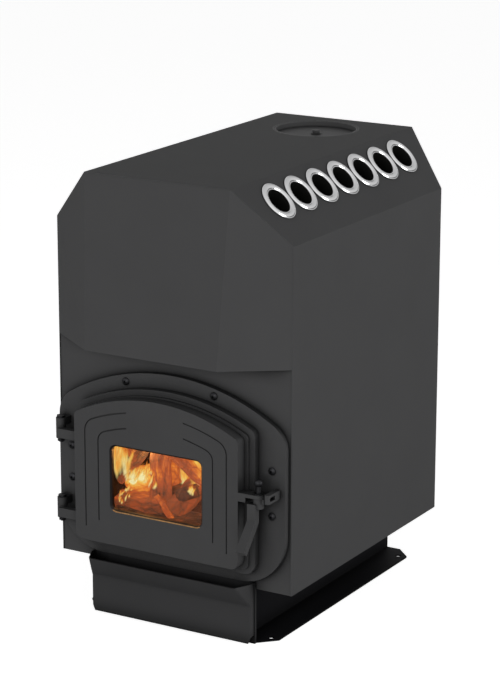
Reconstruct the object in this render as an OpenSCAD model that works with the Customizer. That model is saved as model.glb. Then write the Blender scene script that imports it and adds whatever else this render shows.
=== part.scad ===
// Convection heating stove: a welded firebox between two rows of air tubes,
// a folded sheet casing with sloping shoulders, a cast door and an ash drawer.
// Origin: on the floor, midway between the four floor anchor holes.
// X to the right, Y to the back, Z up.

/* [Casing] */
// Width over the side walls
casing_w = 450; // [440:1:500]
// Depth between the front wall and the rear wall
casing_l = 520; // [515:1:560]
// Height of the top above the floor
casing_top = 770; // [760:1:820]
// Height of the casing's lower edge above the floor
casing_bottom = 95; // [93:1:97]
// Sheet thickness of the casing
casing_t = 2; // [1.5:0.5:3]
// Plate thickness of the front wall, the rear wall and the body's floor
plate_t = 4; // [3:1:6]
// Width of a sloping shoulder, seen from above
shoulder_w = 88; // [84:1:92]
// Height of a sloping shoulder
shoulder_h = 91; // [86:1:96]
// Overhang of the top in front of the front wall
nose_front = 48; // [40:1:60]
// Overhang of the top behind the rear wall
nose_rear = 56; // [52:1:64]
// Height of the hoods' crease above the floor
crease_z = 478; // [470:1:490]
// How far each hood stands out at its crease
hood_bulge = 71; // [66:1:80]
// Width of a hood's flat middle at the crease
hood_flat_w = 250; // [220:1:270]

/* [Air tubes] */
// Number of tubes in each row
tube_count = 7; // [5:1:7]
// Outer diameter of a tube
tube_d = 48.3; // [44:0.1:50]
// Wall thickness of a tube
tube_wall = 1.5; // [1:0.1:2.5]
// Distance between neighbouring tubes
tube_pitch = 71.1; // [70.5:0.1:71.5]
// Distance of the first tube behind the front wall
tube_first = 48.6; // [42:0.1:56]
// Bend radius of a tube's centre line
tube_bend_r = 80; // [70:1:90]
// Straight length at a tube's outlet
tube_stub = 20; // [15:1:30]
// Lean of a tube's long leg from the vertical, in degrees
tube_lean = 6; // [5:0.1:7]
// Distance of the outlets' centres from the shoulder's upper edge
outlet_drop = 46; // [42:1:60]
// Outer diameter of a trim ring
ring_d = 69; // [60:0.5:70]
// Height of a trim ring
ring_h = 4; // [3:0.5:6]

/* [Firebox] */
// Plate thickness of the firebox
firebox_t = 4; // [3:1:6]
// Air gap between the firebox and the tubes
firebox_gap = 3; // [2:0.5:6]
// Air gap between the firebox and the casing's top
roof_gap = 40; // [36:1:50]
// Air gap between the firebox and the rear wall
back_gap = 12; // [8:1:16]
// Air gap between the smoke chamber and the rear hood
hood_gap = 14; // [12:1:18]
// Thickness of the flame baffle
baffle_t = 5; // [4:1:8]
// Height of the baffle's rear edge
baffle_z = 540; // [520:1:560]
// Rise of the baffle towards the door, in degrees
baffle_tilt = 8; // [4:1:12]
// Gap for the smoke between the baffle and the firebox's front
baffle_gap = 90; // [80:1:120]
// Width of the fire grate
grate_w = 200; // [180:1:220]
// Length of the fire grate
grate_l = 300; // [260:1:320]
// Thickness of the fire grate
grate_t = 14; // [10:1:18]
// Number of air slots in the grate
grate_slots = 9; // [7:1:11]
// Width of an air slot
grate_slot_w = 9; // [7:0.5:10]

/* [Smoke outlets] */
// Diameter of the flue pipe that enters the rear spigot
flue_d = 120; // [110:1:125]
// Clearance between the flue pipe and the spigot's bore, on the radius
flue_clearance = 0.3; // [0.2:0.05:0.5]
// Wall thickness of the spigot
spigot_wall = 2.5; // [2:0.5:4]
// Length of the spigot behind the smoke chamber
spigot_l = 60; // [50:1:70]
// Distance of the spigot's axis below the casing's top
spigot_drop = 130; // [125:1:138]
// Distance of the top outlet behind the front wall
outlet_y = 475; // [470:1:478]
// Outer diameter of the top outlet's well
well_d = 153; // [148:1:155]
// Depth of the well below the casing's top
well_depth = 13; // [10:1:16]
// Wall thickness of the well
well_wall = 2.5; // [2:0.5:4]
// Thickness of the plug's dish
plug_t = 3; // [2:0.5:4]
// Diameter of the plug's bolt
plug_bolt_d = 8; // [6:1:10]

/* [Base] */
// Length of the base
base_l = 523; // [515:1:528]
// How far the base's front plate stands in front of the front wall
base_proud = 5; // [4:1:6]
// Width of the base's front plate
base_front_w = 317; // [310:1:324]
// Height of the base's front plate
base_front_h = 107; // [103:1:108]
// Distance between the outer faces of the rails
rail_w = 265; // [260:1:269]
// Sheet thickness of the rails and of the base's floor
rail_t = 3; // [2:0.5:4]
// Width over the floor flanges
flange_w = 372; // [366:1:380]
// Corner cut of the floor flanges
flange_cut = 28; // [22:1:32]
// Distance of the anchor holes from the flange's outer edge
anchor_inset = 15; // [12:0.5:18]
// Distance of the anchor holes from the ends of the base
anchor_end = 32.5; // [29:0.5:38]
// Diameter of an anchor hole
anchor_d = 10; // [8:1:12]

/* [Ash drawer] */
// Width of the ash tray
tray_w = 242; // [236:1:244]
// Height of the ash tray
tray_h = 72; // [66:1:74]
// Depth of the ash tray behind the base's front plate
tray_l = 430; // [400:1:440]
// Sheet thickness of the drawer
drawer_t = 2; // [1.5:0.5:2.5]
// Width of the drawer's front
drawer_front_w = 314; // [308:1:316]
// Height of the front's lower edge above the floor
drawer_front_z = 26; // [18:1:34]
// Height of the front's upper edge above the floor
drawer_lip_z = 107; // [102:1:108]
// Height of the crease under the pull lip
drawer_crease_z = 67; // [60:1:76]
// How far the pull lip stands out from the front
lip_reach = 31; // [24:1:36]
// How much narrower the lip is at each end of its tip
lip_taper = 15; // [10:1:22]
// Gap between the drawer's side returns and the base's front plate
drawer_gap = 0.3; // [0.2:0.1:0.6]
// Depth of the drawer's side returns
drawer_return = 10; // [8:1:14]
// Width of a drawer runner
runner_w = 16; // [12:1:20]

/* [Door portal] */
// Width of the portal's plate
portal_w = 438; // [432:1:440]
// Height of the portal's lower edge above the floor
portal_z0 = 109; // [108:1:114]
// Height of the portal's arch above the floor
portal_z1 = 439; // [436:1:450]
// Radius of the portal's arch
portal_r = 374; // [360:1:400]
// Radius of the portal's upper corners
portal_top_r = 47; // [30:1:60]
// Radius of the portal's lower corners
portal_low_r = 84; // [50:1:90]
// Thickness of the portal's plate
portal_t = 12; // [10:1:14]
// Width of the collar
collar_w = 340; // [334:1:346]
// Height of the collar's lower edge above the floor
collar_z0 = 128; // [124:1:132]
// Height of the collar's arch above the floor
collar_z1 = 415; // [412:1:420]
// Radius of the collar's arch
collar_r = 358; // [340:1:380]
// Height of the collar's main step above the plate
collar_h = 14; // [12:1:16]
// Width of the collar's main step
collar_step = 10; // [7:1:12]
// Height of the collar's inner rim above its main step
rim_h = 4.5; // [3:0.5:6]
// Width of the door opening
opening_w = 256; // [246:1:258]
// Height of the door opening's lower edge above the floor
opening_z0 = 158; // [154:1:164]
// Height of the door opening's arch above the floor
opening_z1 = 378; // [372:1:384]
// Radius of the door opening's arch
opening_r = 321; // [300:1:340]
// Distance of the upper screws from the middle
top_screw_x = 85; // [70:1:95]
// Heights of the left screws above the portal's lower edge
left_screws = [124, 180];
// Heights of the right screws above the portal's lower edge
right_screws = [121.5, 198.5];
// Diameter of the portal's screws
screw_d = 6; // [5:0.5:8]

/* [Door] */
// Distance from the middle to the leaf's hinge edge
leaf_left = 163; // [160:1:166]
// Distance from the middle to the leaf's latch edge
leaf_right = 153; // [151:1:155]
// Height of the leaf's lower edge above the floor
leaf_z0 = 142; // [140:1:148]
// Height of the leaf's arch above the floor
leaf_z1 = 402; // [399:1:405]
// Radius of the leaf's arch
leaf_r = 333; // [315:1:345]
// Thickness of the leaf over its skirt
leaf_deep = 20; // [18:1:22]
// Thickness of the leaf's plate
leaf_t = 7; // [6:0.5:8]
// Width of the leaf's skirt
skirt_w = 14; // [13:1:16]
// Gap between the closed leaf and the collar
leaf_gap = 0.5; // [0.4:0.1:0.8]
// Width of the window inside its chamfer
window_w = 174; // [164:1:178]
// Height of the window inside its chamfer
window_h = 112; // [104:1:116]
// Height of the window's lower edge above the floor
window_z0 = 203; // [199:0.5:207]
// Shift of the window's middle to the left
window_shift = 4; // [0:0.5:6]
// Corner radius of the window
window_r = 10; // [6:1:16]
// Chamfer round the window
window_chamfer = 3; // [2:0.5:4]
// Overlap of the glass around the window
glass_lap = 13; // [11:1:14]
// Thickness of the glass
glass_t = 4; // [3:0.5:5]
// Width of the two grooves that frame the window
groove_w = 2.4; // [1.6:0.2:3]
// Depth of the two grooves
groove_deep = 1.4; // [1:0.2:2]

/* [Hinges and latch] */
// Distance of the hinge axis from the portal's left edge
hinge_inset = 15; // [12:0.5:18]
// Distance of the hinge axis in front of the front wall
hinge_y = 30; // [28:1:32]
// Height of the upper hinge's parting line above the floor
hinge_top_z = 328; // [320:1:334]
// Height of the lower hinge's parting line above the floor
hinge_low_z = 188; // [182:1:196]
// Diameter of a hinge pin
hinge_pin_d = 8; // [6:0.5:9]
// Outer diameter of a hinge eye
hinge_eye_d = 17; // [15:0.5:18]
// Running clearance of a pin in its eye, on the radius
pin_clearance = 0.06; // [0.03:0.01:0.1]
// Distance of the latch pin from the leaf's latch edge
latch_reach = 33; // [31:0.5:35]
// Distance of the latch pin in front of the front wall
latch_y = 41; // [39:0.5:42]
// Height of the latch ear's top above the floor
latch_z = 275.5; // [270:0.5:280]
// Height of the latch ear
ear_t = 14.5; // [12:0.5:16]
// Thickness of the ear's end over the handle's barrel
ear_end_t = 6; // [5:0.5:8]
// Diameter of the latch pin
latch_pin_d = 8; // [6:0.5:9]
// Height of the handle's barrel
barrel_h = 17; // [16:0.5:20]
// Width of the handle's lever
lever_w = 15.5; // [12:0.5:16]
// Thickness of the handle's lever
lever_t = 12; // [9:0.5:14]
// Length of the lever's straight part
lever_drop = 28; // [20:1:36]
// How far the lever's grip stands out
grip_out = 36; // [28:1:44]
// How far the lever's grip reaches down
grip_drop = 42; // [34:1:50]
// Height of the latch keeper
keeper_h = 15; // [14:0.5:20]
// Width of the latch keeper
keeper_w = 9.5; // [8:0.5:11]
// How far the latch keeper stands out from the portal
keeper_l = 38; // [34:1:40]

/* [Hidden] */
$fn = 96;

// Colours as the photograph shows them
sheet_black = "#414141";
cast_black = "#3a3a3a";
deep_black = "#202020";
bright_metal = "#c8c8c8";

// Small reach past a face, for cuts
eps = 1;
// Radial gap around a fixed tube or pipe where it passes a plate
pass_gap = 0.3;
// Gap between two pieces that move on each other
slip = 0.3;
// Gap between the welded lengths of a tube
weld_gap = 0.1;

// Casing, seen from the origin in the middle of the base
half_w = casing_w / 2;
ridge_x = half_w - shoulder_w;
front = base_proud - base_l / 2;
rear = front + casing_l;
shoulder_len = sqrt(shoulder_w * shoulder_w + shoulder_h * shoulder_h);
// Slope normal of the right shoulder: its lean from the vertical
normal_a = atan2(shoulder_h, shoulder_w);
// Shift of a shoulder's edges for a sheet of one unit
ridge_shift = tan(normal_a / 2);
eave_shift = tan((90 - normal_a) / 2);
// Set-back of a hood's cavity for a sheet of one unit
hood_lean = 1.25;

// Air tubes: the outlet's centre, the bend's centre and the leg
tube_r = tube_d / 2;
bore_r = tube_r - tube_wall;
outlet_x = ridge_x + outlet_drop * shoulder_w / shoulder_len;
outlet_z = casing_top - outlet_drop * shoulder_h / shoulder_len;
bend_x = outlet_x - tube_stub * sin(normal_a) + tube_bend_r * cos(normal_a);
bend_z = outlet_z - tube_stub * cos(normal_a) - tube_bend_r * sin(normal_a);
leg_x = bend_x - tube_bend_r * cos(tube_lean);
leg_z = bend_z - tube_bend_r * sin(tube_lean);
leg_l = (leg_z - casing_bottom) / cos(tube_lean) + tube_r;

// Firebox
slot_rib = 6;
slot_end = 14;
slot_middle = 8;
floor_z = casing_bottom + plate_t;
wall_x = leg_x - (tube_r + firebox_gap) / cos(tube_lean);
foot_x = wall_x + (leg_z - floor_z) * tan(tube_lean);
roof_z = casing_top - roof_gap;
firebox_front = front + plate_t;
firebox_back = rear - plate_t - back_gap;
chamber_back = rear + nose_rear - hood_gap;
step_z = crease_z + back_gap;
// Shift of the step's edges for a plate of one unit: the step leans by 45 degrees
step_shift = tan(22.5);

// Smoke outlets
spigot_z = casing_top - spigot_drop;
plug_skirt_h = 15;
flue_bore_r = flue_d / 2 + flue_clearance;
spigot_r = flue_bore_r + spigot_wall;
well_r = well_d / 2;
well_floor_z = casing_top - well_depth;
well_bore_r = flue_bore_r + 2;
outlet_centre_y = front + outlet_y;

// Base
base_front_y = front - base_proud;
base_back_y = base_front_y + base_l;
anchor_x = flange_w - 2 * anchor_inset;
anchor_y = base_l - 2 * anchor_end;
rail_x = rail_w / 2;
drawer_slot_w = rail_w - 2 * rail_t;
tray_lift = 6;
tray_room = 4;
tray_z = rail_t + tray_lift;
tray_front = base_front_y - drawer_gap - drawer_return + drawer_t;
tray_back = front + tray_l;
slot_z1 = tray_z + tray_h + tray_room;
grate_rest = 15;
throat_w = grate_w - 2 * grate_rest;
throat_l = grate_l - 2 * grate_rest;
runner_over = 20;
runner_h = 14;

// Door portal: corner radii of the collar and of the opening, screw head
collar_top_r = 14;
collar_low_r = 20;
opening_top_r = 24;
opening_low_r = 20;
head_d = 2.2 * screw_d;
head_h = 4;
socket_d = 4.4;
socket_deep = 2;

// Door
leaf_top_r = 10;
leaf_low_r = 14;
plate_face = front - portal_t;
collar_face = plate_face - collar_h;
rim_face = collar_face - rim_h;
leaf_back = rim_face - leaf_gap;
leaf_face = leaf_back - leaf_deep;
pocket_y = leaf_face + leaf_t;
window_x = -window_shift;
seal_in = 4;
seal_w = 6;
seal_deep = 5;
gasket_t = 2;
glass_y = pocket_y + gasket_t;
clip_y = glass_y + glass_t;
clip_t = 2.5;
clip_out = 12;
clip_h = 14;
clip_boss_r = 6;
clip_screw_r = 2;

// Grooves on the leaf: distance of each from the leaf's edge, height of its feet and corner radius
groove_outer = [20, 167, 26];
groove_inner = [46, 181, 20];
groove_gap = 110;

// Hinges and latch
pin_x = hinge_inset - portal_w / 2;
pin_y = front - hinge_y;
hinge_arm_h = 16;
hinge_arm_t = 12;
door_eye_h = 22;
portal_eye_h = 13;
pin_head_h = 4;
pin_nut_h = 5;
pin_tail = 2;
latch_x = leaf_right + latch_reach;
latch_pin_y = front - latch_y;
ear_r = 10;
barrel_r = 9;
barrel_z = latch_z - ear_end_t - slip;
barrel_foot = barrel_z - barrel_h;
ring_t = 3;
lever_x = latch_x + 1.5 - lever_w;
lever_y = latch_pin_y - barrel_r - 4;
lever_z = latch_z - ear_t - slip;
tongue_l = 12;
tongue_t = 8;
tongue_h = 9;
knob_d = 14;
knob_z = latch_z + 19;
keeper_x = latch_x + 14.5;
keeper_z = latch_z - 12;
keeper_rim = 4;
keeper_back = 18;
keeper_screw_d = 4;
keeper_head_r = min(0.75 * keeper_screw_d, keeper_h / 2 - keeper_rim - slip);

// Points of an arc round [cx, cy]
function arc(cx, cy, r, a0, a1, n) =
    [for (i = [0:n]) let (a = a0 + (a1 - a0) * i / n) [cx + r * cos(a), cy + r * sin(a)]];

// Outline with a straight foot and an arched top.
// x0, x1: sides, z0: foot, z1: apex, r: arch, rt and rb: top and bottom corners
function arched(x0, x1, z0, z1, r, rt, rb) =
    let (
        cx = (x0 + x1) / 2,
        cz = z1 - r,
        hx = (x1 - x0) / 2 - rt,
        hz = sqrt((r - rt) * (r - rt) - hx * hx),
        a = atan2(hz, hx)
    )
    concat(
        arc(x1 - rb, z0 + rb, rb, -90, 0, 10),
        arc(cx + hx, cz + hz, rt, 0, a, 8),
        arc(cx, cz, r, a, 180 - a, 24),
        arc(cx - hx, cz + hz, rt, 180 - a, 180, 8),
        arc(x0 + rb, z0 + rb, rb, 180, 270, 10)
    );

// Height of an arch over x: z1 is its apex and r its radius
function arch_z(x, z1, r) = z1 - r + sqrt(r * r - x * x);

// Rectangle with round corners, set round its middle
function rounded(cx, z0, w, h, r) =
    concat(
        arc(cx + w / 2 - r, z0 + r, r, -90, 0, 6),
        arc(cx + w / 2 - r, z0 + h - r, r, 0, 90, 6),
        arc(cx - w / 2 + r, z0 + h - r, r, 90, 180, 6),
        arc(cx - w / 2 + r, z0 + r, r, 180, 270, 6)
    );

// Outlines of the portal, the collar, the opening and the leaf; d draws an outline in
function portal_line() =
    arched(-portal_w / 2, portal_w / 2, portal_z0, portal_z1, portal_r, portal_top_r, portal_low_r);
function collar_line(d) =
    arched(-collar_w / 2 + d, collar_w / 2 - d, collar_z0 + d, collar_z1 - d, collar_r - d,
        collar_top_r - d / 2, collar_low_r - d);
function opening_line() =
    arched(-opening_w / 2, opening_w / 2, opening_z0, opening_z1, opening_r, opening_top_r, opening_low_r);
function leaf_line(d) =
    arched(-leaf_left + d, leaf_right - d, leaf_z0 + d, leaf_z1 - d, leaf_r - d,
        max(leaf_top_r - d, 1), max(leaf_low_r - d, 1));

// Upright slab with an outline in X and Z, from y0 to y1
module slab(y0, y1, outline) {
    translate([0, y1, 0]) rotate([90, 0, 0]) linear_extrude(y1 - y0) polygon(outline);
}

// Round bar along Y from y0 to y1
module rod_y(x, z, y0, y1, r) {
    translate([x, y1, z]) rotate([90, 0, 0]) cylinder(h = y1 - y0, r = r);
}

// Casing's cross-section, drawn in by d
function casing_line(d) = [
    [-half_w + d, casing_bottom],
    [-half_w + d, casing_top - shoulder_h - d * eave_shift],
    [-ridge_x - d * ridge_shift, casing_top - d],
    [ridge_x + d * ridge_shift, casing_top - d],
    [half_w - d, casing_top - shoulder_h - d * eave_shift],
    [half_w - d, casing_bottom]
];

// Places each tube of the right row at its outlet's plane
module each_tube() {
    for (i = [0:tube_count - 1]) translate([0, front + tube_first + i * tube_pitch, 0]) children();
}

// Section of a tube
module tube_ring() {
    difference() {
        circle(r = tube_r);
        circle(r = bore_r);
    }
}

// Each tube is a straight outlet, an elbow and a leaning leg, cut level at its foot
module right_tubes() {
    color(cast_black) each_tube() {
        translate([outlet_x, 0, outlet_z]) rotate([0, normal_a, 0])
            translate([0, 0, weld_gap - tube_stub]) linear_extrude(tube_stub - weld_gap) tube_ring();
        translate([bend_x, 0, bend_z]) rotate([90, 0, 0]) rotate([0, 0, 180 - normal_a])
            rotate_extrude(angle = normal_a + tube_lean) translate([tube_bend_r, 0]) tube_ring();
        difference() {
            translate([leg_x, 0, leg_z]) rotate([0, 180 - tube_lean, 0])
                translate([0, 0, weld_gap]) linear_extrude(leg_l) tube_ring();
            translate([leg_x, -tube_d, casing_bottom - 2 * tube_d]) cube([casing_w, 2 * tube_d, 2 * tube_d]);
        }
    }
}

module left_tubes() {
    mirror([1, 0, 0]) right_tubes();
}

// Trim rings: half-round lips that cover the tubes' ends on the shoulder
module right_tube_rings() {
    ring_r = ring_d / 2;
    lip_r = (ring_r - bore_r) / 2;
    color(bright_metal) each_tube() translate([outlet_x, 0, outlet_z]) rotate([0, normal_a, 0])
        rotate_extrude() {
            translate([bore_r, 0]) square([2 * lip_r, ring_h * 0.4]);
            intersection() {
                translate([bore_r + lip_r, ring_h - lip_r]) circle(r = lip_r);
                translate([bore_r, 0]) square([2 * lip_r, ring_h]);
            }
        }
}

module left_tube_rings() {
    mirror([1, 0, 0]) right_tube_rings();
}

// Sheet that forms both sides, both shoulders and the top
module casing_wrap() {
    color(sheet_black) difference() {
        intersection() {
            difference() {
                slab(front - nose_front, rear + nose_rear, casing_line(0));
                slab(front - nose_front - eps, rear + nose_rear + eps,
                    [for (p = casing_line(casing_t)) [p[0], p[1] < casing_bottom + eps ? p[1] - eps : p[1]]]);
            }
            linear_extrude(casing_top + eps) polygon([
                [-half_w, front], [-ridge_x, front - nose_front],
                [ridge_x, front - nose_front], [half_w, front],
                [half_w, rear], [ridge_x, rear + nose_rear],
                [-ridge_x, rear + nose_rear], [-half_w, rear]
            ]);
        }
        for (side = [0, 1]) mirror([side, 0, 0]) each_tube()
            translate([outlet_x, 0, outlet_z]) rotate([0, normal_a, 0])
                translate([0, 0, -tube_r]) cylinder(h = 2 * tube_r, r = tube_r + pass_gap);
        translate([0, outlet_centre_y, casing_top - 2 * casing_t])
            cylinder(h = 4 * casing_t, r = well_r + pass_gap);
    }
}

// Front hood's solid: leaning middle and two side facets folded along one line each
module hood_solid(nose) {
    far = hood_bulge;
    flat = hood_flat_w / 2;
    shoulder_z = casing_top - shoulder_h;
    polyhedron(
        points = [
            [-half_w, 0, crease_z], [-flat, -hood_bulge, crease_z],
            [flat, -hood_bulge, crease_z], [half_w, 0, crease_z],
            [-half_w, 0, shoulder_z], [-ridge_x, -nose, casing_top],
            [ridge_x, -nose, casing_top], [half_w, 0, shoulder_z],
            [-half_w, far, crease_z], [half_w, far, crease_z],
            [-half_w, far, shoulder_z], [half_w, far, shoulder_z],
            [-ridge_x, far, casing_top], [ridge_x, far, casing_top]
        ],
        faces = [
            [1, 2, 3, 9, 8, 0], [5, 6, 2, 1],
            [4, 1, 0], [4, 5, 1], [7, 3, 2], [6, 7, 2],
            [8, 10, 4, 0], [7, 11, 9, 3],
            [10, 12, 5, 4], [6, 13, 11, 7],
            [12, 13, 6, 5], [9, 11, 13, 12, 10, 8]
        ]
    );
}

// Sheet hood that closes the space under an overhang; its cavity is the same solid set back
module hood(nose) {
    intersection() {
        difference() {
            hood_solid(nose);
            translate([0, casing_t * hood_lean, casing_t]) hood_solid(nose);
        }
        slab(-hood_bulge - eps, 0, casing_line(casing_t));
    }
}

module front_hood() {
    color(sheet_black) translate([0, front, 0]) hood(nose_front);
}

module rear_hood() {
    color(sheet_black) difference() {
        translate([0, rear, 0]) mirror([0, 1, 0]) hood(nose_rear);
        rod_y(0, spigot_z, rear, rear + 2 * hood_bulge, spigot_r + pass_gap);
    }
}

// Lower wall between the casing's sides
function wall_line() = [
    [-half_w + casing_t, casing_bottom], [half_w - casing_t, casing_bottom],
    [half_w - casing_t, crease_z], [-half_w + casing_t, crease_z]
];

module front_wall() {
    color(sheet_black) difference() {
        slab(front, front + plate_t, wall_line());
        slab(front - eps, front + plate_t + eps, opening_line());
    }
}

module rear_wall() {
    color(sheet_black) slab(rear - plate_t, rear, wall_line());
}

// Floor of the body, with the ash throat and the holes for the tubes' feet
module body_floor() {
    color(deep_black) difference() {
        translate([-half_w + casing_t, front + plate_t, casing_bottom])
            cube([casing_w - 2 * casing_t, casing_l - 2 * plate_t, plate_t]);
        translate([-throat_w / 2, -throat_l / 2, casing_bottom - eps])
            cube([throat_w, throat_l, plate_t + 2 * eps]);
        for (side = [0, 1]) mirror([side, 0, 0]) each_tube()
            translate([leg_x, 0, leg_z]) rotate([0, 180 - tube_lean, 0])
                cylinder(h = leg_l + tube_r, r = tube_r + pass_gap);
    }
}

// Firebox's cross-section and side profile, drawn in by d
function firebox_line(d, drop) = [
    [-foot_x - drop * tan(tube_lean) + d / cos(tube_lean), floor_z - drop],
    [-wall_x + d / cos(tube_lean), leg_z],
    [-wall_x + d / cos(tube_lean), roof_z - d],
    [wall_x - d / cos(tube_lean), roof_z - d],
    [wall_x - d / cos(tube_lean), leg_z],
    [foot_x + drop * tan(tube_lean) - d / cos(tube_lean), floor_z - drop]
];

module firebox_side(d, drop, x) {
    rise = chamber_back - firebox_back;
    translate([-x, 0, 0]) rotate([90, 0, 90]) linear_extrude(2 * x) polygon([
        [firebox_front + d, floor_z - drop], [firebox_back - d, floor_z - drop],
        [firebox_back - d, step_z + d * step_shift], [chamber_back - d, step_z + rise + d * step_shift],
        [chamber_back - d, roof_z + eps], [firebox_front + d, roof_z + eps]
    ]);
}

module firebox_solid(d, drop) {
    intersection() {
        slab(firebox_front - eps, chamber_back + eps, firebox_line(d, drop));
        firebox_side(d, drop, half_w);
    }
}

module firebox_shell() {
    color(deep_black) difference() {
        firebox_solid(0, 0);
        firebox_solid(firebox_t, eps);
        slab(firebox_front - eps, firebox_front + 2 * firebox_t, opening_line());
        rod_y(0, spigot_z, chamber_back - 2 * firebox_t, chamber_back + eps, flue_bore_r);
        translate([0, outlet_centre_y, roof_z - 2 * firebox_t])
            cylinder(h = 3 * firebox_t, r = well_bore_r);
    }
}

// Plate that turns the flames forward before they reach the smoke chamber
module flame_baffle() {
    color(deep_black) intersection() {
        firebox_solid(firebox_t, 0);
        translate([-half_w, firebox_back - firebox_t, baffle_z]) rotate([-baffle_tilt, 0, 0])
            translate([0, -casing_l, 0]) cube([casing_w, casing_l, baffle_t]);
        translate([-half_w, firebox_front + firebox_t + baffle_gap, 0])
            cube([casing_w, firebox_back - firebox_front - 2 * firebox_t - baffle_gap, roof_z]);
    }
}

// Cast grate with long air slots over the ash throat
module fire_grate() {
    slot_l = throat_l / 2 - slot_end;
    slot_pitch = (throat_w - grate_slot_w - slot_rib) / (grate_slots - 1);
    color(deep_black) difference() {
        translate([-grate_w / 2, -grate_l / 2, floor_z]) cube([grate_w, grate_l, grate_t]);
        for (i = [0:grate_slots - 1], end = [0, 1]) mirror([0, end, 0])
            translate([(i - (grate_slots - 1) / 2) * slot_pitch, slot_middle, floor_z - eps])
                translate([-grate_slot_w / 2, 0, 0]) cube([grate_slot_w, slot_l, grate_t + 2 * eps]);
    }
}

// Round well in the top that carries the plug of the unused smoke outlet
module top_well() {
    color(sheet_black) translate([0, outlet_centre_y, 0]) rotate_extrude() polygon([
        [well_bore_r, roof_z], [well_bore_r + well_wall, roof_z],
        [well_bore_r + well_wall, well_floor_z - well_wall], [well_r, well_floor_z - well_wall],
        [well_r, casing_top], [well_r - well_wall, casing_top],
        [well_r - well_wall, well_floor_z], [well_bore_r, well_floor_z]
    ]);
}

// Dished plug with a rim and a skirt that centres it in the outlet
module flue_plug() {
    rim_r = well_r - well_wall - 2 * slip;
    skirt_r = well_bore_r - 2 * slip;
    hole_r = plug_bolt_d / 2 + slip;
    dish_z = well_floor_z + slip;
    color(sheet_black) translate([0, outlet_centre_y, 0]) rotate_extrude() polygon([
        [hole_r, dish_z], [skirt_r - plug_t, dish_z],
        [skirt_r - plug_t, dish_z - plug_skirt_h], [skirt_r, dish_z - plug_skirt_h],
        [skirt_r, dish_z], [rim_r, dish_z],
        [rim_r, casing_top - slip], [rim_r - plug_t, casing_top - slip],
        [rim_r - plug_t, dish_z + plug_t], [hole_r, dish_z + plug_t]
    ]);
}

// Bolt, washer and nut through the plug's middle, the grip for lifting it
module plug_bolt() {
    dish_z = well_floor_z + slip;
    bolt_r = plug_bolt_d / 2;
    washer_t = 0.2 * plug_bolt_d;
    nut_h = 0.7 * plug_bolt_d;
    color(deep_black) translate([0, outlet_centre_y, dish_z]) {
        translate([0, 0, plug_t]) cylinder(h = washer_t, r = 2.2 * bolt_r);
        translate([0, 0, plug_t + washer_t]) cylinder(h = nut_h, r = 1.8 * bolt_r, $fn = 6);
        translate([0, 0, -1.5 * nut_h]) cylinder(h = plug_t + 2 * nut_h, r = bolt_r);
        translate([0, 0, -nut_h]) cylinder(h = nut_h, r = 1.8 * bolt_r, $fn = 6);
    }
}

// Spigot that takes the flue pipe behind the stove
module rear_spigot() {
    color(sheet_black) difference() {
        rod_y(0, spigot_z, chamber_back, chamber_back + spigot_l, spigot_r);
        rod_y(0, spigot_z, chamber_back - eps, chamber_back + spigot_l + eps, flue_bore_r);
    }
}

// Front plate of the base, with the drawer's slot
module base_front() {
    color(deep_black) difference() {
        translate([-base_front_w / 2, base_front_y, 0]) cube([base_front_w, base_proud, base_front_h]);
        translate([-drawer_slot_w / 2, base_front_y - eps, rail_t])
            cube([drawer_slot_w, base_proud + 2 * eps, slot_z1 - rail_t]);
    }
}

module base_rear() {
    color(deep_black) translate([-drawer_slot_w / 2, base_back_y - rail_t, 0])
        cube([drawer_slot_w, rail_t, casing_bottom]);
}

module base_floor() {
    color(deep_black) translate([-drawer_slot_w / 2, front, 0])
        cube([drawer_slot_w, base_back_y - rail_t - front, rail_t]);
}

// Angle rail: upright wall under the body and a flange on the floor
module right_rail() {
    color(deep_black) difference() {
        union() {
            translate([rail_x - rail_t, front, 0]) cube([rail_t, base_back_y - front, casing_bottom]);
            linear_extrude(rail_t) polygon([
                [rail_x - rail_t, front], [base_front_w / 2, front],
                [flange_w / 2, front + flange_cut], [flange_w / 2, base_back_y - flange_cut],
                [flange_w / 2 - flange_cut, base_back_y], [rail_x - rail_t, base_back_y]
            ]);
        }
        for (end = [-1, 1]) translate([anchor_x / 2, end * anchor_y / 2, -eps])
            cylinder(h = rail_t + 2 * eps, r = anchor_d / 2);
    }
}

module left_rail() {
    mirror([1, 0, 0]) right_rail();
}

// Angle strips that carry the ash tray
module drawer_runners() {
    color(deep_black) for (side = [0, 1]) mirror([side, 0, 0]) {
        translate([rail_x - rail_t - runner_w, front, tray_z - slip - rail_t])
            cube([runner_w, tray_l + runner_over, rail_t]);
        translate([rail_x - 2 * rail_t, front, tray_z - slip - rail_t])
            cube([rail_t, tray_l + runner_over, runner_h]);
    }
}

// Floor plate of the welded ash tray
module ash_tray() {
    color(deep_black) translate([-tray_w / 2, tray_front, tray_z])
        cube([tray_w, tray_back - tray_front, drawer_t]);
}

// Side plates of the ash tray, on its floor
module tray_sides() {
    color(deep_black) for (x = [-tray_w / 2, tray_w / 2 - drawer_t])
        translate([x, tray_front, tray_z + drawer_t])
            cube([drawer_t, tray_back - tray_front, tray_h - drawer_t]);
}

// Front and back plates of the ash tray, between its sides
module tray_ends() {
    color(deep_black) for (y = [tray_front, tray_back - drawer_t])
        translate([-tray_w / 2 + drawer_t, y, tray_z + drawer_t])
            cube([tray_w - 2 * drawer_t, drawer_t, tray_h - drawer_t]);
}

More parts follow.
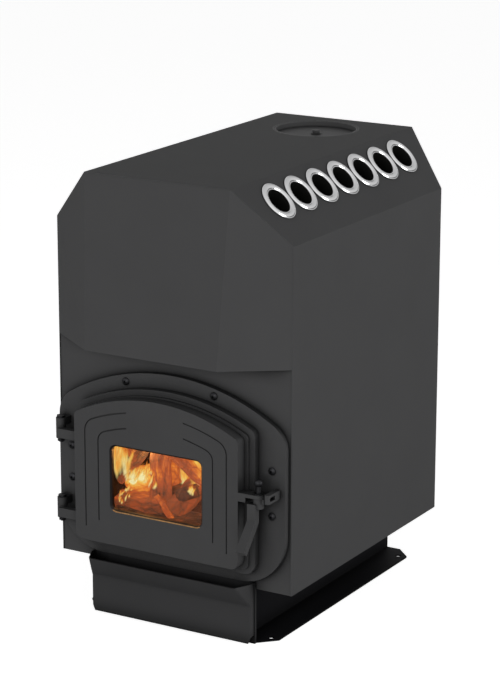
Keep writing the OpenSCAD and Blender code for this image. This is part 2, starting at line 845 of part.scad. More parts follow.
// Trough that flares forward: hw0, hw1 are its half widths at the crease and at the tip
module flared(hw0, hw1, y_back, y0, y1, z0, z1) {
    polyhedron(
        points = [
            [-hw0, y0, z0], [hw0, y0, z0], [hw0, y_back, z0], [-hw0, y_back, z0],
            [-hw1, y1, z1], [hw1, y1, z1], [hw0, y0, z1], [hw0, y_back, z1],
            [-hw0, y_back, z1], [-hw0, y0, z1]
        ],
        faces = [
            [1, 2, 3, 0], [4, 5, 1, 0], [5, 6, 1], [9, 4, 0],
            [6, 7, 2, 1], [3, 8, 9, 0], [9, 8, 7, 6, 5, 4], [7, 8, 3, 2]
        ]
    );
}

// Drawer's front: flat panel, side returns and a pull lip flared like a scoop
module drawer_front() {
    hw = drawer_front_w / 2;
    face = base_front_y - drawer_gap - drawer_return;
    back = base_front_y - drawer_gap;
    rise = drawer_lip_z - drawer_crease_z;
    // The sheet's back bends a little above its face, so that its thickness stays the same
    bend_z = drawer_crease_z + drawer_t * tan(atan2(lip_reach, rise) / 2);
    over = 1.3;
    color(sheet_black) difference() {
        union() {
            flared(hw, hw - lip_taper, back, face, face - lip_reach, drawer_crease_z, drawer_lip_z);
            translate([-hw, face, drawer_front_z])
                cube([2 * hw, back - face, drawer_crease_z - drawer_front_z]);
        }
        flared(hw - drawer_t, hw - drawer_t - over * lip_taper, back + eps,
            face + drawer_t, face + drawer_t - over * lip_reach, bend_z, bend_z + over * rise);
        translate([-hw + drawer_t, face + drawer_t, drawer_front_z - eps])
            cube([2 * (hw - drawer_t), back - face, bend_z - drawer_front_z + 2 * eps]);
    }
}

// Places of the portal's screws, midway between the collar's outline and the plate's
function screw_places() =
    let (
        x = (collar_w + portal_w) / 4,
        z = (arch_z(top_screw_x, collar_z1, collar_r) + arch_z(top_screw_x, portal_z1, portal_r)) / 2
    )
    concat(
        [[-top_screw_x, z], [top_screw_x, z]],
        [for (h = left_screws) [-x, portal_z0 + h]],
        [for (h = right_screws) [x, portal_z0 + h]]
    );

// Upright hinge lug on the portal, with its eye above the parting line
module portal_lug(z) {
    translate([pin_x - hinge_eye_d / 2, pin_y, z]) cube([hinge_eye_d, front - pin_y - eps, portal_eye_h]);
    translate([pin_x, pin_y, z]) cylinder(h = portal_eye_h, r = hinge_eye_d / 2);
}

// Cast frame round the door opening: plate, stepped collar and hinge lugs
module door_portal() {
    color(cast_black) difference() {
        union() {
            slab(plate_face, front, portal_line());
            slab(collar_face, plate_face + eps, collar_line(0));
            slab(rim_face, collar_face + eps, collar_line(collar_step));
            portal_lug(hinge_top_z + slip);
            portal_lug(hinge_low_z + slip);
        }
        slab(rim_face - eps, front + eps, opening_line());
        for (z = [hinge_low_z, hinge_top_z]) translate([pin_x, pin_y, z - eps])
            cylinder(h = portal_eye_h + 4 * eps, r = hinge_pin_d / 2 + pin_clearance);
        for (p = screw_places())
            rod_y(p[0], p[1], plate_face - eps, front + eps, screw_d / 2 + pin_clearance);
    }
}

// Round-headed screws with a hex socket, through the portal's plate
module portal_screws() {
    color(cast_black) for (p = screw_places()) difference() {
        union() {
            rod_y(p[0], p[1], plate_face, front, screw_d / 2);
            translate([p[0], plate_face, p[1]]) rotate([90, 0, 0]) intersection() {
                cylinder(h = head_h, r = head_d / 2);
                translate([0, 0, head_h - 0.7 * head_d]) sphere(r = 0.7 * head_d);
            }
        }
        translate([p[0], plate_face, p[1]]) rotate([90, 0, 0])
            translate([0, 0, head_h - socket_deep])
                cylinder(h = socket_deep + eps, r = socket_d / 2, $fn = 6);
    }
}

// Hinge pins with a head above the portal's eye and a nut below the door's eye
module hinge_pins() {
    color(cast_black) for (z = [hinge_low_z, hinge_top_z]) translate([pin_x, pin_y, z]) {
        translate([0, 0, -door_eye_h - pin_nut_h - pin_tail])
            cylinder(h = pin_tail + pin_nut_h + door_eye_h + portal_eye_h + pin_head_h / 2,
                r = hinge_pin_d / 2);
        translate([0, 0, slip + portal_eye_h]) cylinder(h = pin_head_h, r = hinge_pin_d * 0.85);
        translate([0, 0, -door_eye_h - pin_nut_h - slip])
            cylinder(h = pin_nut_h, r = hinge_pin_d * 0.85, $fn = 6);
    }
}

// Upright lug on the portal that stops the handle's tongue, with an eye across it for its screw's head
module latch_keeper() {
    y0 = plate_face - keeper_l + keeper_rim;
    y1 = plate_face - keeper_back;
    z0 = keeper_z + keeper_rim;
    z1 = keeper_z + keeper_h - keeper_rim;
    eye_r = 0.4 * (z1 - z0);
    color(cast_black) difference() {
        union() {
            translate([keeper_x, plate_face - keeper_l + keeper_w / 2, keeper_z])
                cube([keeper_w, keeper_l - keeper_w / 2, keeper_h]);
            translate([keeper_x + keeper_w / 2, plate_face - keeper_l + keeper_w / 2, keeper_z])
                cylinder(h = keeper_h, r = keeper_w / 2);
        }
        translate([keeper_x - eps, 0, 0]) rotate([90, 0, 90]) linear_extrude(keeper_w + 2 * eps)
            polygon(concat(
                arc(y0 + eye_r, z0 + eye_r, eye_r, 180, 270, 6), [[y1, z0], [y1, z1]],
                arc(y0 + eye_r, z1 - eye_r, eye_r, 90, 180, 6)
            ));
        rod_y(keeper_x + keeper_w / 2, keeper_z + keeper_h / 2, plate_face - keeper_back - eps,
            plate_face + eps, keeper_screw_d / 2 + pin_clearance);
    }
}

module keeper_screw() {
    color(cast_black) {
        rod_y(keeper_x + keeper_w / 2, keeper_z + keeper_h / 2, plate_face - keeper_back,
            plate_face, keeper_screw_d / 2);
        rod_y(keeper_x + keeper_w / 2, keeper_z + keeper_h / 2, plate_face - keeper_back - keeper_screw_d / 2,
            plate_face - keeper_back, keeper_head_r);
    }
}

// Ear of the leaf that carries the latch pin; its thin end reaches over the handle's barrel
module latch_ear() {
    translate([leaf_right - ear_r, leaf_face, latch_z - ear_t])
        cube([latch_reach - barrel_r, latch_pin_y + ear_r - leaf_face, ear_t]);
    translate([leaf_right, leaf_face, latch_z - ear_end_t])
        cube([latch_reach, latch_pin_y + ear_r - leaf_face, ear_end_t]);
    translate([latch_x, latch_pin_y, latch_z - ear_end_t]) cylinder(h = ear_end_t, r = ear_r);
}

// Arm of the leaf that ends in a hinge eye under the parting line z
module hinge_arm(z) {
    translate([pin_x, leaf_back - hinge_arm_t, z - (door_eye_h + hinge_arm_h) / 2])
        cube([skirt_w / 2 - leaf_left - pin_x, hinge_arm_t, hinge_arm_h]);
    translate([pin_x, pin_y, z - door_eye_h]) cylinder(h = door_eye_h, r = hinge_eye_d / 2);
}

// Places of the glass clips' screws round the window
function clip_places() = [
    for (sx = [-1, 1], z = [window_z0 + clip_h, window_z0 + window_h - clip_h])
        [window_x + sx * (window_w / 2 + glass_lap + clip_boss_r), z, sx]
];

// Outline at a distance of d from the leaf's sides and arch, with upper corners of radius r
function frame_line(d, r) =
    arched(-leaf_left + d, leaf_right - d, leaf_z0 - d, leaf_z1 - d, leaf_r - d, r, 1);

// Cut for a groove round the window, open at its foot and under the arch's middle
module frame_groove(g) {
    middle = (leaf_right - leaf_left) / 2;
    difference() {
        slab(leaf_face - eps, leaf_face + groove_deep, frame_line(g[0], g[2]));
        slab(leaf_face - 2 * eps, leaf_face + groove_deep + eps,
            frame_line(g[0] + groove_w, g[2] - groove_w));
        translate([middle - groove_gap / 2, leaf_face - 2 * eps, g[1]])
            cube([groove_gap, groove_deep + 3 * eps, leaf_z1 - g[1]]);
        translate([-leaf_left, leaf_face - 2 * eps, 0])
            cube([leaf_left + leaf_right, groove_deep + 3 * eps, g[1]]);
    }
}

// Cut for the chamfer round the window: a wedge along each side and a cone at each corner
module window_bevel() {
    c = window_chamfer;
    hw = window_w / 2;
    z1 = window_z0 + window_h;
    translate([window_x - hw + window_r, 0, 0]) rotate([90, 0, 90]) linear_extrude(window_w - 2 * window_r)
        polygon([
            [leaf_face - eps, window_z0 - c - eps], [leaf_face + c, window_z0],
            [leaf_face + c, z1], [leaf_face - eps, z1 + c + eps]
        ]);
    translate([window_x, 0, window_z0 + window_r]) linear_extrude(window_h - 2 * window_r)
        polygon([
            [-hw - c - eps, leaf_face - eps], [hw + c + eps, leaf_face - eps],
            [hw, leaf_face + c], [-hw, leaf_face + c]
        ]);
    for (x = [window_x - hw + window_r, window_x + hw - window_r], z = [window_z0 + window_r, z1 - window_r])
        translate([x, leaf_face - eps, z]) rotate([-90, 0, 0])
            cylinder(h = c + eps, r1 = window_r + c + eps, r2 = window_r);
}

// Cast leaf: plate, skirt with the seal's groove, window, framing grooves, hinge arms and latch ear
module door_leaf() {
    color(cast_black) difference() {
        union() {
            difference() {
                slab(leaf_face, leaf_back, leaf_line(0));
                slab(pocket_y, leaf_back + eps, leaf_line(skirt_w));
            }
            for (z = [hinge_low_z, hinge_top_z]) hinge_arm(z);
            latch_ear();
            for (p = clip_places()) rod_y(p[0], p[1], pocket_y - eps, clip_y, clip_boss_r);
        }
        slab(leaf_face - eps, pocket_y + eps, rounded(window_x, window_z0, window_w, window_h, window_r));
        window_bevel();
        frame_groove(groove_outer);
        frame_groove(groove_inner);
        difference() {
            slab(leaf_back - seal_deep, leaf_back + eps, leaf_line(seal_in));
            slab(leaf_back - seal_deep - eps, leaf_back + 2 * eps, leaf_line(seal_in + seal_w));
        }
        for (z = [hinge_low_z, hinge_top_z]) translate([pin_x, pin_y, z - door_eye_h - eps])
            cylinder(h = door_eye_h + 2 * eps, r = hinge_pin_d / 2 + pin_clearance);
        translate([latch_x, latch_pin_y, latch_z - ear_t - eps])
            cylinder(h = ear_t + 2 * eps, r = latch_pin_d / 2 + pin_clearance);
        for (p = clip_places()) rod_y(p[0], p[1], pocket_y, clip_y + eps, clip_screw_r + pin_clearance);
    }
}

module glass_line_slab(y0, y1, lap) {
    slab(y0, y1, rounded(window_x, window_z0 - lap, window_w + 2 * lap, window_h + 2 * lap, window_r));
}

module door_glass() {
    color("#d07a30", 0.5) glass_line_slab(glass_y, clip_y, glass_lap);
}

module glass_gasket() {
    color("#8a8578") difference() {
        glass_line_slab(pocket_y, glass_y, glass_lap);
        glass_line_slab(pocket_y - eps, glass_y + eps, 4);
    }
}

// Spring clips that hold the glass against its gasket
module glass_clips() {
    color(bright_metal) for (p = clip_places()) difference() {
        translate([p[2] > 0 ? p[0] - clip_out : p[0] - clip_boss_r, clip_y, p[1] - clip_h / 2])
            cube([clip_out + clip_boss_r, clip_t, clip_h]);
        rod_y(p[0], p[1], clip_y - eps, clip_y + clip_t + eps, clip_screw_r + pin_clearance);
    }
}

module clip_screws() {
    color(bright_metal) for (p = clip_places()) {
        rod_y(p[0], p[1], pocket_y, clip_y + clip_t, clip_screw_r);
        rod_y(p[0], p[1], clip_y + clip_t, clip_y + clip_t + 0.75 * clip_screw_r, 1.8 * clip_screw_r);
    }
}

// Rope seal in the leaf's groove
module door_seal() {
    color("#8a8578") difference() {
        slab(leaf_back - seal_deep, leaf_back + leaf_gap - slip / 2, leaf_line(seal_in));
        slab(leaf_back - seal_deep - eps, leaf_back + eps, leaf_line(seal_in + seal_w));
    }
}

// Pin that hangs the handle under the leaf's ear: knob, washer, shank and a ring in the barrel's foot
module latch_pin() {
    washer_t = 0.25 * latch_pin_d;
    color(cast_black) translate([latch_x, latch_pin_y, 0]) {
        translate([0, 0, barrel_foot]) cylinder(h = knob_z - barrel_foot, r = latch_pin_d / 2);
        translate([0, 0, barrel_foot]) cylinder(h = ring_t, r = 0.75 * latch_pin_d);
        translate([0, 0, latch_z]) cylinder(h = washer_t, r = latch_pin_d);
        translate([0, 0, knob_z]) sphere(r = knob_d / 2);
    }
}

// Side profile of the lever in Y and Z: a straight part, a knee and a grip that slants forward
function lever_line() =
    let (
        a = atan2(grip_drop, grip_out),
        knee_z = lever_z - lever_drop,
        back_y = lever_y + lever_t,
        knee = lever_t * tan((90 - a) / 2),
        tip = [lever_y - grip_out, knee_z - grip_drop]
    )
    [
        [back_y, lever_z], [lever_y, lever_z], [lever_y, knee_z], tip,
        [tip[0] + lever_t * sin(a), tip[1] - lever_t * cos(a)], [back_y, knee_z - knee]
    ];

// Handle: barrel on the latch pin, tongue towards the keeper and a bent lever
module door_handle() {
    color(cast_black) difference() {
        union() {
            translate([latch_x, latch_pin_y, barrel_foot]) cylinder(h = barrel_h, r = barrel_r);
            translate([latch_x, latch_pin_y - tongue_t / 2, barrel_z - tongue_h])
                cube([tongue_l, tongue_t, tongue_h]);
            translate([lever_x, lever_y, barrel_foot])
                cube([latch_x - lever_x, latch_pin_y - lever_y, lever_z - barrel_foot]);
            translate([lever_x, 0, 0]) rotate([90, 0, 90]) linear_extrude(lever_w) polygon(lever_line());
        }
        translate([latch_x, latch_pin_y, barrel_foot - eps])
            cylinder(h = barrel_h + 2 * eps, r = latch_pin_d / 2 + pin_clearance);
        translate([latch_x, latch_pin_y, barrel_foot - slip])
            cylinder(h = ring_t + 2 * slip, r = 0.75 * latch_pin_d + slip);
    }
}

casing_wrap();
front_wall();
front_hood();
rear_wall();
rear_hood();
body_floor();
firebox_shell();
flame_baffle();
fire_grate();
left_tubes();
right_tubes();
left_tube_rings();
right_tube_rings();
top_well();
rear_spigot();
flue_plug();
plug_bolt();
base_front();
base_rear();
base_floor();
left_rail();
right_rail();
drawer_runners();
ash_tray();
tray_sides();
tray_ends();
drawer_front();
door_portal();
portal_screws();
hinge_pins();
latch_keeper();
keeper_screw();
door_leaf();
door_glass();
glass_gasket();
glass_clips();
clip_screws();
door_seal();
latch_pin();
door_handle();
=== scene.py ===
# Convection heating stove: enamelled sheet casing, cast door, chromed tube rings
# and a wood fire behind the window. Metres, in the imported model's own frame.
import math
import random

import bmesh
import bpy
from mathutils import Matrix, Vector, noise


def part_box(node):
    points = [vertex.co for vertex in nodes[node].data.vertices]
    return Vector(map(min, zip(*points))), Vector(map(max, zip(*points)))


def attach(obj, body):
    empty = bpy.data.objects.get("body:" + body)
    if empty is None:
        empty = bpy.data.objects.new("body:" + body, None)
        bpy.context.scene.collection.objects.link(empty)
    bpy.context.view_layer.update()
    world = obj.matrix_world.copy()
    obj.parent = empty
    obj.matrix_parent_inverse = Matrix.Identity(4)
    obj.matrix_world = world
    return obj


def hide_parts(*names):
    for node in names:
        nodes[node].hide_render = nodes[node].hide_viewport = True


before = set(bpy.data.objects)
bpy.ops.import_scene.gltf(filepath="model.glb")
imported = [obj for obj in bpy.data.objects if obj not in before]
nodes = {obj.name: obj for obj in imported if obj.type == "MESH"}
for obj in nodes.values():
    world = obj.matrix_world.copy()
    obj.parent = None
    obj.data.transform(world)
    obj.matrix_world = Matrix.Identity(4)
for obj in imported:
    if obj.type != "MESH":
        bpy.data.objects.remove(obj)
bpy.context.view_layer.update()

scene = bpy.context.scene
print("frame loaded:", len(nodes), "nodes")


# View and studio

view = {
    "place": (2.1501, -3.6659, 1.5974),
    "pitch": 0.2706,  # down from the horizon
    "roll": -0.0014,
    "yaw": 0.5319,
    "lens": 131.8,  # mm on a 36 mm sensor, long side upright
    "sensor": 36.0,
}


def makeCamera():
    data = bpy.data.cameras.new("camera")
    data.lens = view["lens"]
    data.sensor_width = view["sensor"]
    cam = bpy.data.objects.new("camera", data)
    cam.location = view["place"]
    cam.rotation_euler = (math.pi / 2 - view["pitch"], view["roll"], view["yaw"])
    scene.collection.objects.link(cam)
    scene.camera = cam
    print("camera set")


studio = {
    "horizon": 0.62,  # soft light from all round, at eye level
    "zenith": 0.02,  # and straight down
    "glossZenith": 0.72,  # what polished metal sees overhead; it sees white at eye level
    "floorSize": 40.0,
    "floorColour": (0.82, 0.82, 0.82),
    "floorLift": 0.78,  # added for camera rays, so the floor reads as white paper
    "lamps": [
        # name, place, aimed at, size, watts
        ("key", (0.7, -3.8, 1.1), (0.0, 0.0, 0.4), 2.6, 60.0),
        ("side", (3.9, 0.5, 1.0), (0.0, 0.0, 0.4), 2.2, 66.0),
        ("left", (-3.0, -2.8, 0.9), (0.0, 0.0, 0.3), 2.4, 24.0),
    ],
}


def makeStudio():
    world = bpy.data.worlds.new("studio")
    scene.world = world
    world.use_nodes = True
    tree = world.node_tree
    background = tree.nodes["Background"]
    background.inputs["Color"].default_value = (1, 1, 1, 1)
    way = tree.nodes.new("ShaderNodeTexCoord")
    split = tree.nodes.new("ShaderNodeSeparateXYZ")
    tree.links.new(way.outputs["Generated"], split.inputs["Vector"])
    path = tree.nodes.new("ShaderNodeLightPath")
    soft = addRange(tree, split.outputs["Z"], studio["horizon"], studio["zenith"])
    gloss = addRange(tree, split.outputs["Z"], 1.0, studio["glossZenith"])
    level = addRange(tree, path.outputs["Is Glossy Ray"], soft, gloss)
    seen = addMath(tree, "MAXIMUM", path.outputs["Is Camera Ray"], path.outputs["Is Transmission Ray"])
    tree.links.new(addRange(tree, seen, level, 1.0), background.inputs["Strength"])
    for name, place, target, size, watts in studio["lamps"]:
        data = bpy.data.lights.new(name, "AREA")
        data.shape = "DISK"
        data.size = size
        data.energy = watts
        lamp = bpy.data.objects.new(name, data)
        lamp.location = place
        aim = Vector(target) - Vector(place)
        lamp.rotation_euler = aim.to_track_quat("-Z", "Y").to_euler()
        scene.collection.objects.link(lamp)


def makeFloor():
    mesh = bpy.data.meshes.new("floor")
    half = studio["floorSize"] / 2
    corners = [(-half, -half, 0), (half, -half, 0), (half, half, 0), (-half, half, 0)]
    mesh.from_pydata(corners, [], [(0, 1, 2, 3)])
    floor = bpy.data.objects.new("floor", mesh)
    scene.collection.objects.link(floor)
    mat, tree, shader = startMaterial("paperFloor")
    shader.inputs["Base Color"].default_value = (*studio["floorColour"], 1)
    shader.inputs["Roughness"].default_value = 0.9
    shader.inputs["Specular IOR Level"].default_value = 0.0
    path = tree.nodes.new("ShaderNodeLightPath")
    lift = addMath(tree, "MULTIPLY", path.outputs["Is Camera Ray"], studio["floorLift"])
    shader.inputs["Emission Color"].default_value = (1, 1, 1, 1)
    tree.links.new(lift, shader.inputs["Emission Strength"])
    mesh.materials.append(mat)
    print("studio made:", len(studio["lamps"]), "lamps and the floor")


# Materials


def startMaterial(name):
    mat = bpy.data.materials.new(name)
    mat.use_nodes = True
    return mat, mat.node_tree, mat.node_tree.nodes["Principled BSDF"]


def addNoise(tree, scale, detail=4.0, rough=0.55, stretch=(1, 1, 1)):
    place = tree.nodes.new("ShaderNodeTexCoord")
    mapping = tree.nodes.new("ShaderNodeMapping")
    mapping.inputs["Scale"].default_value = stretch
    tree.links.new(place.outputs["Object"], mapping.inputs["Vector"])
    grain = tree.nodes.new("ShaderNodeTexNoise")
    grain.inputs["Scale"].default_value = scale
    grain.inputs["Detail"].default_value = detail
    grain.inputs["Roughness"].default_value = rough
    tree.links.new(mapping.outputs["Vector"], grain.inputs["Vector"])
    return grain


def feed(tree, socket, given):
    # given is a value, or a socket that varies over the surface
    if isinstance(given, bpy.types.NodeSocket):
        tree.links.new(given, socket)
    else:
        socket.default_value = given


def addRange(tree, value, low, high, fromLow=0.0, fromHigh=1.0):
    node = tree.nodes.new("ShaderNodeMapRange")
    node.inputs["From Min"].default_value = fromLow
    node.inputs["From Max"].default_value = fromHigh
    feed(tree, node.inputs["To Min"], low)
    feed(tree, node.inputs["To Max"], high)
    feed(tree, node.inputs["Value"], value)
    return node.outputs["Result"]


def addMath(tree, operation, first, second):
    node = tree.nodes.new("ShaderNodeMath")
    node.operation = operation
    feed(tree, node.inputs[0], first)
    feed(tree, node.inputs[1], second)
    return node.outputs[0]


def addBlend(tree, factor, first, second):
    node = tree.nodes.new("ShaderNodeMix")
    node.data_type = "RGBA"
    for socket, colour in ((node.inputs["A"], first), (node.inputs["B"], second)):
        feed(tree, socket, (*colour, 1) if isinstance(colour, tuple) else colour)
    feed(tree, node.inputs["Factor"], factor)
    return node.outputs["Result"]


def addRamp(tree, value, stops):
    node = tree.nodes.new("ShaderNodeValToRGB")
    ramp = node.color_ramp
    while len(ramp.elements) > 1:
        ramp.elements.remove(ramp.elements[-1])
    ramp.elements[0].position = stops[0][0]
    ramp.elements[0].color = (*stops[0][1], 1)
    for spot, colour in stops[1:]:
        ramp.elements.new(spot).color = (*colour, 1)
    tree.links.new(value, node.inputs["Fac"])
    return node.outputs["Color"]


def addBump(tree, shader, heights, distance, base=None):
    last = base
    for height, strength in heights:
        bump = tree.nodes.new("ShaderNodeBump")
        bump.inputs["Strength"].default_value = strength
        bump.inputs["Distance"].default_value = distance
        tree.links.new(height, bump.inputs["Height"])
        if last:
            tree.links.new(last, bump.inputs["Normal"])
        last = bump.outputs["Normal"]
    tree.links.new(last, shader.inputs["Normal"])


def addSoftEdge(tree, radius):
    soft = tree.nodes.new("ShaderNodeBevel")
    soft.inputs["Radius"].default_value = radius
    soft.samples = 4
    return soft.outputs["Normal"]


def addWear(tree, softNormal, low, high):
    # worn corners: where the rounded normal turns away from the true one
    true = tree.nodes.new("ShaderNodeNewGeometry")
    dot = tree.nodes.new("ShaderNodeVectorMath")
    dot.operation = "DOT_PRODUCT"
    tree.links.new(softNormal, dot.inputs[0])
    tree.links.new(true.outputs["Normal"], dot.inputs[1])
    return addRange(tree, dot.outputs["Value"], 1.0, 0.0, low, high)


def addCrevice(tree, reach):
    # 0 in tight corners and joints, 1 on open faces
    hollow = tree.nodes.new("ShaderNodeAmbientOcclusion")
    hollow.samples = 8
    hollow.inputs["Distance"].default_value = reach
    return hollow.outputs["AO"]


coats = {
    # grain is the scale of the fine grain and rise its strength; the edge reach and the reach of the painted shade
    # in corners and joints are in metres
    "sheetEnamel": {"dark": (0.056, 0.056, 0.057), "light": (0.064, 0.064, 0.065), "rough": (0.56, 0.68),
                    "grain": 900.0, "rise": 0.10, "gloss": 0.04, "edge": 0.0006, "paintedShade": 0.034},
    "castEnamel": {"dark": (0.042, 0.042, 0.043), "light": (0.054, 0.054, 0.055), "rough": (0.55, 0.72),
                   "grain": 420.0, "rise": 0.35, "gloss": 0.16, "edge": 0.0016, "paintedShade": 0.034},
    "baseEnamel": {"dark": (0.016, 0.016, 0.017), "light": (0.022, 0.022, 0.023), "rough": (0.55, 0.68),
                   "grain": 700.0, "rise": 0.15, "gloss": 0.14, "edge": 0.0006, "paintedShade": 0.03},
    # painted light: a lighter copy of the sheet enamel with little painted shade, so the dished lid and its well
    # read as lit
    "litLidEnamel": {"dark": (0.066, 0.066, 0.067), "light": (0.076, 0.076, 0.077), "rough": (0.50, 0.62),
                  "grain": 900.0, "rise": 0.10, "gloss": 0.10, "edge": 0.0012, "paintedShade": 0.004},
    # painted shade: a darker copy of the base enamel for the rails and tray parts under the body
    "shadedRailEnamel": {"dark": (0.004, 0.004, 0.005), "light": (0.007, 0.007, 0.008), "rough": (0.60, 0.74),
                   "grain": 700.0, "rise": 0.15, "gloss": 0.05, "edge": 0.0006, "paintedShade": 0.03},
    "drawerEnamel": {"dark": (0.031, 0.031, 0.032), "light": (0.037, 0.037, 0.038), "rough": (0.50, 0.62),
                     "grain": 900.0, "rise": 0.10, "gloss": 0.16, "edge": 0.0020, "paintedShade": 0.034},
}

wearAndShade = {
    "cloud": 9.0,  # scale of the cloudy tone
    "turn": (0.80, 0.97),  # how far the rounded normal turns at a worn edge
    "rub": 0.35,  # share of bright metal there
    "rubTone": 3.0,  # times the light tone
    "shadeFrom": (0.42, 0.95),  # painted shade: from a closed corner to an open face
    "shadeTone": 0.18,  # painted shade: times the dark tone
    "depth": 0.0006,  # of the grain
}


def makeCoat(name):
    # paint on metal: cloudy tone, fine grain, painted shade in the corners and joints and a rub of brighter metal
    # on the edges
    coat = coats[name]
    mat, tree, shader = startMaterial(name)
    cloud = addNoise(tree, wearAndShade["cloud"], 5.0).outputs["Fac"]
    grain = addNoise(tree, coat["grain"], 2.0).outputs["Fac"]
    softNormal = addSoftEdge(tree, coat["edge"])
    paint = addBlend(tree, cloud, coat["dark"], coat["light"])
    rub = addMath(tree, "MULTIPLY", addWear(tree, softNormal, *wearAndShade["turn"]), cloud)
    bright = tuple(wearAndShade["rubTone"] * c for c in coat["light"])
    rubbed = addBlend(tree, addMath(tree, "MULTIPLY", rub, wearAndShade["rub"]), paint, bright)
    # painted shade: the paint darkens where nearby parts hem the surface in
    paintedShade = addRange(tree, addCrevice(tree, coat["paintedShade"]), 1.0, 0.0, *wearAndShade["shadeFrom"])
    shadeColour = tuple(wearAndShade["shadeTone"] * c for c in coat["dark"])
    tree.links.new(addBlend(tree, paintedShade, rubbed, shadeColour), shader.inputs["Base Color"])
    tree.links.new(addRange(tree, grain, *coat["rough"]), shader.inputs["Roughness"])
    shader.inputs["Specular IOR Level"].default_value = coat["gloss"]
    addBump(tree, shader, [(grain, coat["rise"])], wearAndShade["depth"], softNormal)
    return mat


metals = {
    # grazing is the share of the colour that is left at a grazing angle: a painted darker rim that stands for the
    # darker surroundings the metal reflects there
    "chrome": {"colour": (0.94, 0.94, 0.95), "grazing": 0.22, "rough": (0.05, 0.12), "grain": 300.0, "rise": 0.01},
    "springSteel": {"colour": (0.42, 0.42, 0.44), "grazing": 0.70, "rough": (0.28, 0.42), "grain": 500.0,
                    "rise": 0.08},
    "blackBolt": {"colour": (0.030, 0.030, 0.032), "grazing": 0.80, "rough": (0.42, 0.60), "grain": 800.0,
                  "rise": 0.12},
}

grainAndSeatShade = {
    "grainTone": 0.9,  # times the colour
    "reach": 0.006,  # of the painted shade where the piece is seated on the casing
    "share": 0.85,
    "from": (0.35, 0.85),
    "tone": 0.2,  # times the colour
    "depth": 0.0004,  # of the grain
}


def makeMetal(name):
    metal = metals[name]
    colour = metal["colour"]
    mat, tree, shader = startMaterial(name)
    grain = addNoise(tree, metal["grain"], 3.0).outputs["Fac"]
    facing = tree.nodes.new("ShaderNodeLayerWeight")
    facing.inputs["Blend"].default_value = 0.5
    bare = addBlend(tree, grain, tuple(c * grainAndSeatShade["grainTone"] for c in colour), colour)
    # painted reflection: the colour darkens where the surface turns away from the view
    rimShaded = addBlend(tree, facing.outputs["Facing"], bare, tuple(c * metal["grazing"] for c in colour))
    # painted shade: darker at the foot where the piece meets the casing, standing for the dark casing it reflects
    # there
    foot = addRange(tree, addCrevice(tree, grainAndSeatShade["reach"]), grainAndSeatShade["share"], 0.0, *grainAndSeatShade["from"])
    seatShaded = addBlend(tree, foot, rimShaded, tuple(grainAndSeatShade["tone"] * c for c in colour))
    tree.links.new(seatShaded, shader.inputs["Base Color"])
    tree.links.new(addRange(tree, grain, *metal["rough"]), shader.inputs["Roughness"])
    shader.inputs["Metallic"].default_value = 1.0
    addBump(tree, shader, [(grain, metal["rise"])], grainAndSeatShade["depth"])
    return mat


def makeSootSteel():
    # bare plate of the firebox: soot with rusty heat stains
    mat, tree, shader = startMaterial("sootSteel")
    soot = addNoise(tree, 14.0, 6.0)
    stain = addNoise(tree, 60.0, 4.0)
    under = addBlend(tree, stain.outputs["Fac"], (0.020, 0.015, 0.012), (0.070, 0.042, 0.028))
    cover = addRange(tree, soot.outputs["Fac"], 0.0, 1.0, 0.42, 0.62)
    tree.links.new(addBlend(tree, cover, under, (0.012, 0.011, 0.011)), shader.inputs["Base Color"])
    tree.links.new(addRange(tree, stain.outputs["Fac"], 0.7, 0.95), shader.inputs["Roughness"])
    shader.inputs["Specular IOR Level"].default_value = 0.2
    addBump(tree, shader, [(stain.outputs["Fac"], 0.4)], 0.0008)
    return mat


def makeTubeSteel():
    mat, tree, shader = startMaterial("tubeSteel")
    scale = addNoise(tree, 120.0, 4.0)
    # near black colour: painted shade for the dark inside of the tube bores
    tree.links.new(addBlend(tree, scale.outputs["Fac"], (0.001, 0.001, 0.001), (0.004, 0.004, 0.003)),
                   shader.inputs["Base Color"])
    tree.links.new(addRange(tree, scale.outputs["Fac"], 0.6, 0.8), shader.inputs["Roughness"])
    shader.inputs["Specular IOR Level"].default_value = 0.15
    addBump(tree, shader, [(scale.outputs["Fac"], 0.3)], 0.0004)
    return mat


def makeGlass():
    # thin pane: clear with a faint smoky edge, so that light passes straight through it
    mat, tree, shader = startMaterial("fireGlass")
    haze = addNoise(tree, 35.0, 4.0)
    shader.inputs["Base Color"].default_value = (0.02, 0.012, 0.008, 1)
    shader.inputs["Roughness"].default_value = 0.06
    shader.inputs["IOR"].default_value = 1.47
    tree.links.new(addRange(tree, haze.outputs["Fac"], 0.03, 0.16), shader.inputs["Alpha"])
    return mat


def makeRope():
    mat, tree, shader = startMaterial("glassRope")
    strand = tree.nodes.new("ShaderNodeTexWave")
    strand.inputs["Scale"].default_value = 90.0
    strand.inputs["Distortion"].default_value = 1.5
    place = tree.nodes.new("ShaderNodeTexCoord")
    tree.links.new(place.outputs["Object"], strand.inputs["Vector"])
    fluff = addNoise(tree, 600.0, 4.0)
    tree.links.new(addBlend(tree, fluff.outputs["Fac"], (0.10, 0.095, 0.085), (0.30, 0.29, 0.26)),
                   shader.inputs["Base Color"])
    shader.inputs["Roughness"].default_value = 0.95
    addBump(tree, shader, [(strand.outputs["Fac"], 0.6), (fluff.outputs["Fac"], 0.4)], 0.001)
    return mat


